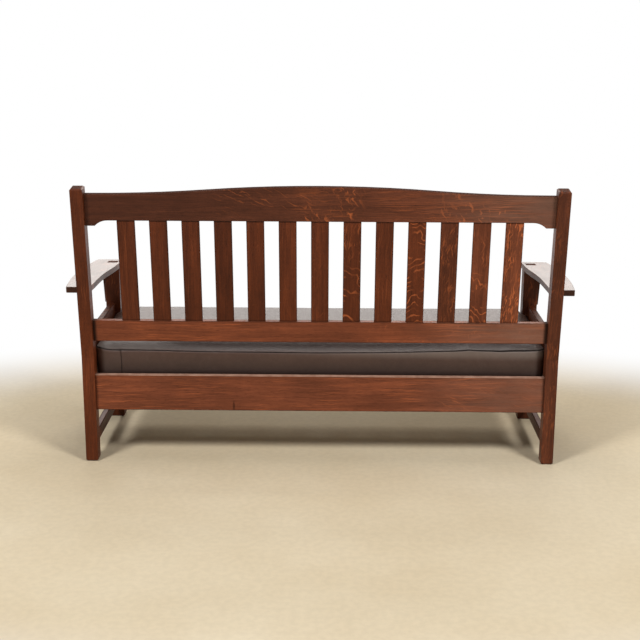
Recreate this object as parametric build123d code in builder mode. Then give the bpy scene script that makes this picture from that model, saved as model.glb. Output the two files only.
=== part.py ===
from build123d import *
import os
from math import cos, radians, sin, sqrt, tan

# Mission settle in oak with one loose leather seat cushion.
# Millimetres and degrees. The front faces -Y, +Z is up, and +X is the viewer's right from the front.
# The origin is on the floor, under the middle of the box around the whole settle.

# Frame as a whole
frame_length = 1726.0  # over the outer faces of posts and legs
frame_depth = 568.0  # rear face of a post to front face of a leg, at the floor
floor_bevel = 6.0  # around the bottom of each foot

# Rear posts, upright below and raked above
post_width = 44.5
post_depth = 51.0
post_bend_height = 400.0
post_upper_length = 630.5  # along the rake
post_top_bevel = 5.0
back_rake = 7.2

# Front legs, each with a square tenon up through its arm
leg_size = 57.0
leg_tenon_size = 40.0

# Back: crest rail, lower rail and upright slats, measured up the rake from the bend of the posts
back_inset = 19.0  # rear face of the post to rear face of the rails
back_rail_thickness = 21.0
lower_rail_rise = 58.0
lower_rail_height = 79.0
crest_rise = 512.5  # underside of the crest rail above the slats
crest_end_height = 94.5
crest_crown = 29.5  # the top rises this much from the ends to the middle
crest_level_length = 28.5  # from the post to where the wave starts
crest_foot_drop = 19.5
crest_foot_length = 32.0
crest_foot_curve = 45.0
slat_count = 13
slat_end_gap = 108.0  # from the post to the first slat
slat_width = 62.5
slat_thickness = 12.0

# Seat rails, side rails and side stretchers
seat_rail_bottom = 197.5
seat_rail_height = 133.5
front_rail_gap = 3.5  # from the top of the front rail up to the plane of the deck
seat_rail_inset = 14.0  # behind the rear face of a post or the front face of a leg
rail_thickness = 22.0
side_rail_top = 480.5
side_inset = 13.0  # outer face of a post or leg to outer face of the side rail
stretcher_bottom = 56.0
stretcher_height = 44.0

# Arms: boards that fall a little to the front, with a bowed outer edge
arm_under_height = 620.0  # at the middle of the leg
arm_thickness = 22.5
arm_fall = 1.72
arm_front_overhang = 28.0
arm_rear_outset = 48.0
arm_front_outset = 42.0
arm_bow = 22.5
arm_rear_lap = 37.0  # width of arm that bears on the post
arm_leg_overhang = 1.5
arm_taper_length = 340.0  # the inner edge swings in over this length, up to the leg
arm_nose_radius = 16.0
arm_heel_radius = 5.0

# Corbels on the outer side of the legs
corbel_thickness = 22.0
corbel_height = 142.0
corbel_foot = 6.5
corbel_waist = 11.0
corbel_top = 36.0
corbel_flare = 60.0  # height of the hollow curve under the arm

# Seat deck: cleats along both seat rails and boards between them, pitched down to the rear
deck_rear_height = 313.0  # top of the deck at the rear rail
seat_pitch = 3.1
deck_slat_count = 11
deck_side_gap = 68.0  # from the side rail to the first deck slat
deck_slat_width = 70.0
deck_slat_thickness = 12.0
deck_end_gap = 2.0
cleat_end_gap = 6.0  # from the front leg to the end of a cleat
cleat_width = 22.0
cleat_height = 26.0

# Seat cushion
cushion_front_overhang = 27.5  # past the outer face of the front seat rail
cushion_boxing = 105.0
cushion_crown = 25.0
cushion_rear_gap = 6.5
cushion_side_gap = 1.5
cushion_rest_gap = 0.3
cushion_post_gap = 0.9  # at the rounded corners beside the posts
cushion_draw_in = 5.0
cushion_inset_shares = (0.02, 0.00, 0.01, 0.00, 0.10, 0.26, 0.54, 0.82)
cushion_height_shares = (0.00, 0.07, 0.50, 1.00, 1.00, 1.00, 1.00, 1.00)
cushion_crown_shares = (0.00, 0.00, 0.00, 0.00, 0.52, 0.80, 0.95, 1.00)

# Joinery and hardware
tenon_thickness = 9.0
long_tenon = 25.0
tenon_wall = 5.5  # wood left between two tenons that meet at a right angle
tenon_shoulder = 12.0
slat_tenon = 12.0
slat_tenon_thickness = 8.0
slat_shoulder = 5.0
joint_gap = 0.1
mortise_relief = 1.0
dowel_radius = 4.0
dowel_length = 36.0
dowel_spacing = 18.0
screw_head_radius = 4.0
screw_shank_radius = 2.0
screw_head_rim = 0.5
screw_head_depth = 2.5
deck_screw_length = 30.0
cleat_screw_length = 36.0
cleat_screw_place_shares = (0.5, 2.5, 4.5)  # of the pitch of the deck slats, so between two slats
edge_ease = 1.5
arm_ease = 2.5
overrun = 8.0

os.makedirs("parts", exist_ok=True)

# Places worked out from the sizes
half_length = frame_length / 2
post_inner = half_length - post_width
leg_inner = half_length - leg_size
leg_middle = half_length - leg_size / 2
side_outer = half_length - side_inset
side_inner = side_outer - rail_thickness
leg_middle_depth = frame_depth - leg_size / 2
arm_nose = leg_size / 2 + arm_front_overhang
rear_reach = (post_upper_length - post_top_bevel) * sin(radians(back_rake))
front_reach = (
    leg_middle_depth
    + arm_nose * cos(radians(arm_fall))
    + (arm_thickness - arm_ease) * sin(radians(arm_fall))
)
rear_y = (front_reach - rear_reach) / 2
leg_y = rear_y - leg_middle_depth
post_front_y = rear_y - post_depth
leg_rear_y = rear_y - frame_depth + leg_size
rear_rail_inner_y = rear_y - seat_rail_inset - rail_thickness
front_rail_inner_y = rear_y - frame_depth + seat_rail_inset + rail_thickness

# Working planes. Local z points forward on the back, and up on the arms and the seat.
back_plane = Plane(
    origin=(0, rear_y, post_bend_height),
    x_dir=(1, 0, 0),
    z_dir=(0, -cos(radians(back_rake)), sin(radians(back_rake))),
)
upright_plane = Plane(origin=(0, rear_y, 0), x_dir=(1, 0, 0), z_dir=(0, -1, 0))
arm_plane = Plane(
    origin=(0, leg_y, arm_under_height),
    x_dir=(1, 0, 0),
    z_dir=(0, -sin(radians(arm_fall)), cos(radians(arm_fall))),
)
seat_plane = Plane(
    origin=(0, rear_rail_inner_y, deck_rear_height),
    x_dir=(1, 0, 0),
    z_dir=(0, sin(radians(seat_pitch)), cos(radians(seat_pitch))),
)
post_front_plane = back_plane.offset(post_depth)


def block(plane, x_span, y_span, z_span):
    # a rectangular block between two limits along each local direction of a plane
    with BuildPart() as solid:
        with BuildSketch(plane.offset(z_span[0])):
            with Locations(((x_span[0] + x_span[1]) / 2, (y_span[0] + y_span[1]) / 2)):
                Rectangle(x_span[1] - x_span[0], y_span[1] - y_span[0])
        extrude(amount=z_span[1] - z_span[0])
    return solid.part


def grown(span, low, high):
    return (span[0] - low, span[1] + high)


def centred(middle, width):
    return (middle - width / 2, middle + width / 2)


def finish(piece, name):
    piece.part.label = name
    export_step(piece.part, f"parts/{name}.step")


def finish_pair(piece, name):
    # the modelled piece is the right one, and the left one is its mirror image
    finish(piece, f"{name}_right")
    with BuildPart() as other:
        mirror(piece.part, about=Plane.YZ)
    finish(other, f"{name}_left")


# Spans of the rails that run from side to side: heights, then distance forward from the rear face.
# Their tenons are centred in the thickness, and each mortise is cut from the same spans.
seat_clear_depth = rear_rail_inner_y - front_rail_inner_y
deck_front_height = deck_rear_height + seat_clear_depth * tan(radians(seat_pitch))
rear_rail_z = (seat_rail_bottom, seat_rail_bottom + seat_rail_height)
front_rail_z = (seat_rail_bottom, deck_front_height - front_rail_gap)
rear_rail_y = (seat_rail_inset, seat_rail_inset + rail_thickness)
front_rail_y = (frame_depth - seat_rail_inset - rail_thickness, frame_depth - seat_rail_inset)
back_rail_y = (back_inset, back_inset + back_rail_thickness)
lower_rail_s = (lower_rail_rise, lower_rail_rise + lower_rail_height)
crest_foot = crest_rise - crest_foot_drop
crest_end_top = crest_rise + crest_end_height
crest_tenon_s = (crest_rise, crest_end_top)
crest_wave_length = post_inner - crest_level_length


def cross_tenons(plane, end, rise, forward, gap=0.0, relief=0.0):
    # one at each end, from a little inside the rail
    rise_span = grown(rise, gap - tenon_shoulder, gap - tenon_shoulder)
    forward_span = grown(centred((forward[0] + forward[1]) / 2, tenon_thickness), gap, gap)
    pair = []
    for side in (1, -1):
        span = sorted((side * (end - overrun), side * (end + long_tenon + relief)))
        pair.append(block(plane, span, rise_span, forward_span))
    return pair


def cross_mortises(plane, end, rise, forward):
    return cross_tenons(plane, end, rise, forward, joint_gap, mortise_relief)


rear_rail_mortises = cross_mortises(upright_plane, post_inner, rear_rail_z, rear_rail_y)
front_rail_mortises = cross_mortises(upright_plane, leg_inner, front_rail_z, front_rail_y)
lower_rail_mortises = cross_mortises(back_plane, post_inner, lower_rail_s, back_rail_y)
crest_mortises = cross_mortises(back_plane, post_inner, crest_tenon_s, back_rail_y)

# Spans of the tenons that run from front to back, in the side rails and the stretchers
side_plane = Plane.YZ
side_tenon_x = centred((side_inner + side_outer) / 2, tenon_thickness)
cross_tenon_front = seat_rail_inset + (rail_thickness + tenon_thickness) / 2
side_tenon_y = (
    leg_rear_y - (leg_size - cross_tenon_front - tenon_wall),
    post_front_y + (post_depth - cross_tenon_front - tenon_wall),
)
side_rail_tenon_z = (seat_rail_bottom + tenon_shoulder, post_bend_height - tenon_shoulder)
stretcher_z = (stretcher_bottom, stretcher_bottom + stretcher_height)
stretcher_tenon_z = grown(stretcher_z, -tenon_shoulder, -tenon_shoulder)


def side_mortise(tenon_z):
    return block(
        side_plane,
        grown(side_tenon_y, mortise_relief, mortise_relief),
        grown(tenon_z, joint_gap, joint_gap),
        grown(side_tenon_x, joint_gap, joint_gap),
    )


side_rail_mortise = side_mortise(side_rail_tenon_z)
stretcher_mortise = side_mortise(stretcher_tenon_z)

# Dowels that hold each arm to its post, along the arm at half its thickness
arm_middle = arm_plane.offset(arm_thickness / 2)
to_post = (post_front_plane.origin - arm_middle.origin).dot(post_front_plane.z_dir)
arm_heel = to_post / arm_middle.y_dir.dot(post_front_plane.z_dir)
dowel_middle = half_length - arm_rear_lap / 2
dowel_planes = []
for x in centred(dowel_middle, dowel_spacing):
    centre = arm_middle.from_local_coords((x, arm_heel, 0))
    dowel_planes.append(Plane(origin=centre, x_dir=(1, 0, 0), z_dir=arm_middle.y_dir))


def dowels(gap, relief):
    with BuildPart() as pins:
        with Locations(*dowel_planes):
            Cylinder(dowel_radius + gap, dowel_length + 2 * relief)
    return pins.part


dowel_holes = dowels(joint_gap, mortise_relief)

# Rear posts
post_top = back_plane.from_local_coords((0, post_upper_length, 0))
post_top_front = back_plane.from_local_coords((0, post_upper_length, post_depth))
front_bend_height = post_bend_height + post_depth * tan(radians(back_rake / 2))
with BuildPart() as rear_post:
    with BuildSketch(Plane.YZ.offset(post_inner)):
        with BuildLine():
            Polyline(
                (rear_y, 0),
                (rear_y, post_bend_height),
                (post_top.Y, post_top.Z),
                (post_top_front.Y, post_top_front.Z),
                (post_front_y, front_bend_height),
                (post_front_y, 0),
                close=True,
            )
        make_face()
    extrude(amount=post_width)
    chamfer(rear_post.faces().sort_by(Axis.Z)[-1].edges(), post_top_bevel)
    chamfer(rear_post.faces().sort_by(Axis.Z)[0].edges(), floor_bevel)
    long_edges = rear_post.edges().filter_by(lambda edge: edge.length > 2 * post_depth)
    fillet(long_edges, edge_ease)
    for mortises in (rear_rail_mortises, lower_rail_mortises, crest_mortises):
        add(mortises, mode=Mode.SUBTRACT)
    for mortise in (side_rail_mortise, stretcher_mortise, dowel_holes):
        add(mortise, mode=Mode.SUBTRACT)
finish_pair(rear_post, "rear_post")

# Front legs, shouldered under the arm and tenoned through it
leg_blank = arm_under_height + leg_size
leg_spot = (leg_middle, leg_y)
with BuildPart() as front_leg:
    with BuildSketch():
        with Locations(leg_spot):
            Rectangle(leg_size, leg_size)
    extrude(amount=leg_blank)
    chamfer(front_leg.faces().sort_by(Axis.Z)[0].edges(), floor_bevel)
    fillet(front_leg.edges().filter_by(Axis.Z), edge_ease)
    split(bisect_by=arm_plane, keep=Keep.BOTTOM)
    with BuildSketch(Plane.XY.offset(arm_under_height - leg_size)):
        with Locations(leg_spot):
            Rectangle(leg_tenon_size, leg_tenon_size)
    extrude(amount=2 * leg_size)
    split(bisect_by=arm_plane.offset(arm_thickness), keep=Keep.BOTTOM)
    add(front_rail_mortises, mode=Mode.SUBTRACT)
    for mortise in (side_rail_mortise, stretcher_mortise):
        add(mortise, mode=Mode.SUBTRACT)
finish_pair(front_leg, "front_leg")


# Rails from side to side: the three straight ones share one shape
def cross_rail(plane, end, rise, forward, cuts):
    with BuildPart() as rail:
        add(block(plane, (-end, end), rise, forward))
        add(cuts, mode=Mode.SUBTRACT)
        fillet(rail.edges().filter_by(lambda edge: edge.length > end), edge_ease)
        add(cross_tenons(plane, end, rise, forward))
    return rail.part


# Slat tenons and the mortises for them in the two back rails
slat_middle = back_inset + back_rail_thickness / 2
slat_pitch = (2 * (post_inner - slat_end_gap) - slat_width) / (slat_count - 1)
slat_places = [slat_pitch * (i - (slat_count - 1) / 2) for i in range(slat_count)]
slat_s = (lower_rail_s[1], crest_rise)
slat_tenon_s = grown(slat_s, slat_tenon, slat_tenon)


def slat_tenon_block(x, gap=0.0, relief=0.0):
    return block(
        back_plane,
        grown(centred(x, slat_width), gap - slat_shoulder, gap - slat_shoulder),
        grown(slat_tenon_s, relief, relief),
        grown(centred(slat_middle, slat_tenon_thickness), gap, gap),
    )


slat_mortises = [slat_tenon_block(x, joint_gap, mortise_relief) for x in slat_places]

with BuildPart() as lower_back_rail:
    add(cross_rail(back_plane, post_inner, lower_rail_s, back_rail_y, slat_mortises))
finish(lower_back_rail, "lower_back_rail")

# Crest rail: a long low wave along the top, and a drop with a hollow curve at each end below
foot_x = post_inner - crest_foot_length
hollow_x = foot_x - crest_foot_curve
wave_middle = (crest_wave_length / 2, crest_end_top + crest_crown / 2)
with BuildPart() as crest_rail:
    with BuildSketch(back_plane.offset(back_inset)):
        with BuildLine():
            TangentArc((0, crest_end_top + crest_crown), wave_middle, tangent=(1, 0))
            TangentArc((crest_wave_length, crest_end_top), wave_middle, tangent=(-1, 0))
            Polyline(
                (crest_wave_length, crest_end_top),
                (post_inner, crest_end_top),
                (post_inner, crest_foot),
                (foot_x, crest_foot),
            )
            TangentArc((hollow_x, crest_rise), (foot_x, crest_foot), tangent=(1, 0))
            Line((hollow_x, crest_rise), (0, crest_rise))
            mirror(about=Plane.YZ)
        make_face()
    extrude(amount=back_rail_thickness)
    add(slat_mortises, mode=Mode.SUBTRACT)
    broad_faces = crest_rail.faces().sort_by(SortBy.AREA)[-2:]
    eased_edges = broad_faces.edges().filter_by(lambda edge: abs(edge.center().X) < post_inner - edge_ease)
    fillet(eased_edges, edge_ease)
    add(cross_tenons(back_plane, post_inner, crest_tenon_s, back_rail_y))
finish(crest_rail, "crest_rail")

# Back slats
for number, x in enumerate(slat_places, start=1):
    with BuildPart() as back_slat:
        add(block(back_plane, centred(x, slat_width), slat_s, centred(slat_middle, slat_thickness)))
        upright_edges = back_slat.edges().filter_by(lambda edge: edge.length > slat_width + slat_thickness)
        fillet(upright_edges, edge_ease)
        add(slat_tenon_block(x))
    finish(back_slat, f"back_slat_{number:02d}")


# Screws, sunk flush, and the holes for them
def screw(length, gap=0.0):
    with BuildPart() as shape:
        with BuildSketch(Plane.XZ):
            with BuildLine():
                Polyline(
                    (0, gap),
                    (screw_head_radius + gap, gap),
                    (screw_head_radius + gap, -screw_head_rim),
                    (screw_shank_radius + gap, -screw_head_depth),
                    (screw_shank_radius + gap, -length - gap),
                    (0, -length - gap),
                    close=True,
                )
            make_face()
        revolve(axis=Axis.Z)
    return shape.part


def placed(shape, planes):
    with BuildPart() as copies:
        with Locations(*planes):
            add(shape)
    return copies.part


# Deck: spans on the seat plane, then the cleats that follow its underside
deck_length = seat_clear_depth / cos(radians(seat_pitch))
deck_y = (deck_end_gap - deck_length, -deck_end_gap)
deck_slat_pitch = (2 * (side_inner - deck_side_gap) - deck_slat_width) / (deck_slat_count - 1)
deck_places = [deck_slat_pitch * (i - (deck_slat_count - 1) / 2) for i in range(deck_slat_count)]
deck_screw_ends = (-cleat_width / 2, cleat_width / 2 - deck_length)
deck_screw_planes = [
    Plane(origin=seat_plane.from_local_coords((x, y, 0)), x_dir=(1, 0, 0), z_dir=seat_plane.z_dir)
    for x in deck_places
    for y in deck_screw_ends
]
deck_screw_holes = placed(screw(deck_screw_length, joint_gap), deck_screw_planes)


def under_deck(y):
    # height of the deck's underside over a place along Y
    top = deck_rear_height + (rear_rail_inner_y - y) * tan(radians(seat_pitch))
    return top - deck_slat_thickness / cos(radians(seat_pitch))


def cleat_screw_planes(face_y, height, forward):
    places = [side * share * deck_slat_pitch for side in (-1, 1) for share in cleat_screw_place_shares]
    return [Plane(origin=(x, face_y, height), x_dir=(1, 0, 0), z_dir=(0, forward, 0)) for x in places]


rear_cleat_face = rear_rail_inner_y - cleat_width
front_cleat_face = front_rail_inner_y + cleat_width
rear_cleat_bottom = under_deck(rear_rail_inner_y) - cleat_height
front_cleat_bottom = under_deck(front_cleat_face) - cleat_height
rear_screws = cleat_screw_planes(rear_cleat_face, rear_cleat_bottom + cleat_height / 2, -1)
front_screws = cleat_screw_planes(front_cleat_face, front_cleat_bottom + cleat_height / 2, 1)
cleat_screw_holes = placed(screw(cleat_screw_length, joint_gap), rear_screws + front_screws)

# Seat rails, front and rear
for name, end, rise, forward in (
    ("rear_seat_rail", post_inner, rear_rail_z, rear_rail_y),
    ("front_seat_rail", leg_inner, front_rail_z, front_rail_y),
):
    with BuildPart() as seat_rail:
        add(cross_rail(upright_plane, end, rise, forward, cleat_screw_holes))
    finish(seat_rail, name)

# Deck cleats
cleat_length = 2 * (leg_inner - cleat_end_gap)
for name, back_y, face_y, bottom in (
    ("rear_deck_cleat", rear_rail_inner_y, rear_cleat_face, rear_cleat_bottom),
    ("front_deck_cleat", front_rail_inner_y, front_cleat_face, front_cleat_bottom),
):
    with BuildPart() as cleat:
        with BuildSketch(Plane.YZ.offset(-cleat_length / 2)):
            with BuildLine():
                Polyline(
                    (back_y, bottom),
                    (back_y, under_deck(back_y)),
                    (face_y, under_deck(face_y)),
                    (face_y, bottom),
                    close=True,
                )
            make_face()
        extrude(amount=cleat_length)
        add(deck_screw_holes, mode=Mode.SUBTRACT)
        add(cleat_screw_holes, mode=Mode.SUBTRACT)
    finish(cleat, name)

# Deck slats
for number, x in enumerate(deck_places, start=1):
    with BuildPart() as deck_slat:
        add(block(seat_plane, centred(x, deck_slat_width), deck_y, (-deck_slat_thickness, 0)))
        fillet(deck_slat.edges().filter_by(lambda edge: edge.length > 2 * deck_slat_width), edge_ease)
        add(deck_screw_holes, mode=Mode.SUBTRACT)
    finish(deck_slat, f"deck_slat_{number:02d}")

with BuildPart() as deck_screws:
    add(placed(screw(deck_screw_length), deck_screw_planes))
finish(deck_screws, "deck_screws")

with BuildPart() as cleat_screws:
    add(placed(screw(cleat_screw_length), rear_screws + front_screws))
finish(cleat_screws, "cleat_screws")

# Side rails: the rear end follows the bend of the post
raked_top = post_front_y + (side_rail_top - front_bend_height) * tan(radians(back_rake))
with BuildPart() as side_rail:
    with BuildSketch(Plane.YZ.offset(side_inner)):
        with BuildLine():
            Polyline(
                (leg_rear_y, seat_rail_bottom),
                (post_front_y, seat_rail_bottom),
                (post_front_y, front_bend_height),
                (raked_top, side_rail_top),
                (leg_rear_y, side_rail_top),
                close=True,
            )
        make_face()
    extrude(amount=rail_thickness)
    fillet(side_rail.edges().filter_by(Axis.Y), edge_ease)
    add(block(side_plane, side_tenon_y, side_rail_tenon_z, side_tenon_x))
finish_pair(side_rail, "side_rail")

# Side stretchers
with BuildPart() as side_stretcher:
    add(block(side_plane, (leg_rear_y, post_front_y), stretcher_z, (side_inner, side_outer)))
    fillet(side_stretcher.edges().filter_by(Axis.Y), edge_ease)
    add(block(side_plane, side_tenon_y, stretcher_tenon_z, side_tenon_x))
finish_pair(side_stretcher, "side_stretcher")

# Arms
arm_inner_rear = half_length - arm_rear_lap
arm_inner_front = leg_inner - arm_leg_overhang
arm_outer_rear = (half_length + arm_rear_outset, arm_heel + overrun)
arm_outer_front = (half_length + arm_front_outset, -arm_nose)
arm_bow_middle = (
    (arm_outer_rear[0] + arm_outer_front[0]) / 2 + arm_bow,
    (arm_outer_rear[1] + arm_outer_front[1]) / 2,
)
arm_taper_middle = ((arm_inner_rear + arm_inner_front) / 2, arm_taper_length / 2)
with BuildPart() as arm:
    with BuildSketch(arm_plane):
        with BuildLine():
            ThreePointArc(arm_outer_rear, arm_bow_middle, arm_outer_front)
            Polyline(arm_outer_front, (arm_inner_front, -arm_nose), (arm_inner_front, 0))
            TangentArc((arm_inner_front, 0), arm_taper_middle, tangent=(0, 1))
            TangentArc((arm_inner_rear, arm_taper_length), arm_taper_middle, tangent=(0, -1))
            Polyline(
                (arm_inner_rear, arm_taper_length),
                (arm_inner_rear, arm_outer_rear[1]),
                arm_outer_rear,
            )
        make_face()
    extrude(amount=arm_thickness)
    split(bisect_by=post_front_plane, keep=Keep.TOP)
    standing_edges = arm.edges().filter_by(lambda edge: edge.length < arm_thickness + arm_ease)
    corners = standing_edges.filter_by(lambda edge: edge.center().X > half_length)
    fillet(corners.sort_by(Axis.Y)[0], arm_nose_radius)
    fillet(corners.sort_by(Axis.Y)[-1], arm_heel_radius)
    broad_faces = arm.faces().sort_by(SortBy.AREA)[-2:]
    fillet(broad_faces.edges(), arm_ease)
    with BuildSketch(Plane.XY.offset(arm_under_height - leg_size)):
        with Locations(leg_spot):
            Rectangle(leg_tenon_size + 2 * joint_gap, leg_tenon_size + 2 * joint_gap)
    extrude(amount=2 * leg_size, mode=Mode.SUBTRACT)
    add(dowel_holes, mode=Mode.SUBTRACT)
finish_pair(arm, "arm")

with BuildPart() as arm_dowels:
    add(dowels(0, 0))
    mirror(about=Plane.YZ)
finish(arm_dowels, "arm_dowels")

# Corbels, cut to the slope of the arm
corbel_bottom = arm_under_height - corbel_height
flare_bottom = arm_under_height - corbel_flare
with BuildPart() as corbel:
    with BuildSketch(Plane.XZ.offset(-leg_y - corbel_thickness / 2)):
        with BuildLine():
            Polyline(
                (half_length + corbel_top, arm_under_height),
                (half_length + corbel_top, arm_under_height + overrun),
                (half_length, arm_under_height + overrun),
                (half_length, corbel_bottom),
                (half_length + corbel_foot, corbel_bottom + corbel_foot / 2),
                (half_length + corbel_waist, flare_bottom),
            )
            TangentArc(
                (half_length + corbel_waist, flare_bottom),
                (half_length + corbel_top, arm_under_height),
                tangent=(0, 1),
            )
        make_face()
    extrude(amount=corbel_thickness)
    split(bisect_by=arm_plane, keep=Keep.BOTTOM)
finish_pair(corbel, "corbel")

# Seat cushion: a crowned box with its sides drawn in, notched round the front legs
cushion_half = side_inner - cushion_side_gap
front_rail_span = (seat_clear_depth + rail_thickness) / cos(radians(seat_pitch))
cushion_y = (-front_rail_span - cushion_front_overhang, -cushion_rear_gap)
cushion_depth = cushion_y[1] - cushion_y[0]
cushion_middle = (cushion_y[0] + cushion_y[1]) / 2
notch_x = (leg_inner - cushion_side_gap, half_length)
notch_y = (rear_y - frame_depth - leg_size, leg_rear_y + cushion_side_gap)
notch_z = (deck_rear_height - leg_size, arm_under_height)
post_overlap = max(cushion_half - post_inner, rear_rail_inner_y - cushion_rear_gap - post_front_y)
cushion_corner_radius = (post_overlap + cushion_post_gap) * (2 + sqrt(2))
with BuildPart() as seat_cushion:
    for inset_share, height_share, crown_share in zip(
        cushion_inset_shares, cushion_height_shares, cushion_crown_shares
    ):
        inset = cushion_depth / 2 * inset_share
        height = cushion_boxing * height_share + cushion_crown * crown_share
        right = cushion_half - inset
        deep = cushion_depth / 2 - inset
        with BuildSketch(seat_plane.offset(cushion_rest_gap + height)) as outline:
            with BuildLine():
                for side in (1, -1):
                    ThreePointArc(
                        (side * right, cushion_middle - deep),
                        (side * (right - cushion_draw_in / 2), cushion_middle),
                        (side * right, cushion_middle + deep),
                    )
                    ThreePointArc(
                        (-right, cushion_middle + side * deep),
                        (0, cushion_middle + side * (deep - cushion_draw_in)),
                        (right, cushion_middle + side * deep),
                    )
            make_face()
            fillet(outline.vertices(), cushion_corner_radius * (1 - inset_share))
    loft(ruled=True)
    for side in (1, -1):
        span = sorted((side * notch_x[0], side * notch_x[1]))
        add(block(Plane.XY, span, notch_y, notch_z), mode=Mode.SUBTRACT)
finish(seat_cushion, "seat_cushion")
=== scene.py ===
import math

import bmesh
import bpy
from mathutils import Matrix, Vector, noise


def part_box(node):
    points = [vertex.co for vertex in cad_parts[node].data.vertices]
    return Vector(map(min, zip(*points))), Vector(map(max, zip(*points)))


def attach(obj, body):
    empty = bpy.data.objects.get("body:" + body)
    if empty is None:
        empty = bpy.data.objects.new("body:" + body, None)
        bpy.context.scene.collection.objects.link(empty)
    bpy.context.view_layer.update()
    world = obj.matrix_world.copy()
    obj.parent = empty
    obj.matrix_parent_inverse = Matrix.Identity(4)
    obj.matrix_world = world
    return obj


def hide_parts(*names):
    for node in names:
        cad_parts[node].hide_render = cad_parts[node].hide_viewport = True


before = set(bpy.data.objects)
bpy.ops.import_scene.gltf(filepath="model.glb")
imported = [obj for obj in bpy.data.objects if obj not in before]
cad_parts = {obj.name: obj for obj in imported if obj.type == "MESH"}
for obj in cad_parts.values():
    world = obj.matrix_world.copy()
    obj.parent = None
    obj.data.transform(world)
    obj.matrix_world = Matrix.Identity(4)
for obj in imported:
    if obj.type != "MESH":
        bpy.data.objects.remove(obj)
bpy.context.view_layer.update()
scene = bpy.context.scene
scene.view_settings.view_transform = "Standard"

acrossX = Vector((1, 0, 0))
alongY = Vector((0, 1, 0))
upZ = Vector((0, 0, 1))


def addObject(name, data):
    piece = bpy.data.objects.new(name, data)
    scene.collection.objects.link(piece)
    return piece


# Camera: the view from behind that the photo has

view = {
    "eye": (-0.0448, 4.2393, 1.6437),  # metres from the middle of the rear faces, at the floor
    "postProud": 0.014,  # how far the posts stand behind the rear seat rail
    "yaw": -0.01034,
    "pitch": 0.25317,
    "roll": 0.00441,
    "lens": 68.643,
    "sensor": 36.0,
    "clipEnd": 60.0,
}


def addCamera():
    data = bpy.data.cameras.new("viewCamera")
    data.lens = view["lens"]
    data.sensor_width = view["sensor"]
    data.clip_end = view["clipEnd"]
    camera = addObject("viewCamera", data)
    yaw, pitch, roll = view["yaw"], view["pitch"], view["roll"]
    level = Vector((-math.sin(yaw), -math.cos(yaw), 0.0))
    side = Vector((-math.cos(yaw), math.sin(yaw), 0.0))
    ahead = level * math.cos(pitch) - upZ * math.sin(pitch)
    above = level * math.sin(pitch) + upZ * math.cos(pitch)
    right = side * math.cos(roll) + above * math.sin(roll)
    top = above * math.cos(roll) - side * math.sin(roll)
    turn = Matrix((right, top, -ahead)).transposed().to_4x4()
    x, y, z = view["eye"]
    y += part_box("rear_seat_rail")[1][1] + view["postProud"]
    camera.matrix_world = Matrix.Translation((x, y, z)) @ turn
    scene.camera = camera


# Helpers for node trees

def addNode(tree, kind, inputs=(), **settings):
    # a node with its settings, and each input linked or given its value
    node = tree.nodes.new(kind)
    for name, value in settings.items():
        setattr(node, name, value)
    for name, value in dict(inputs).items():
        connect(tree, node.inputs[name], value)
    return node


def connect(tree, socket, value):
    if isinstance(value, bpy.types.NodeSocket):
        tree.links.new(value, socket)
    elif value is not None:
        socket.default_value = value


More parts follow.
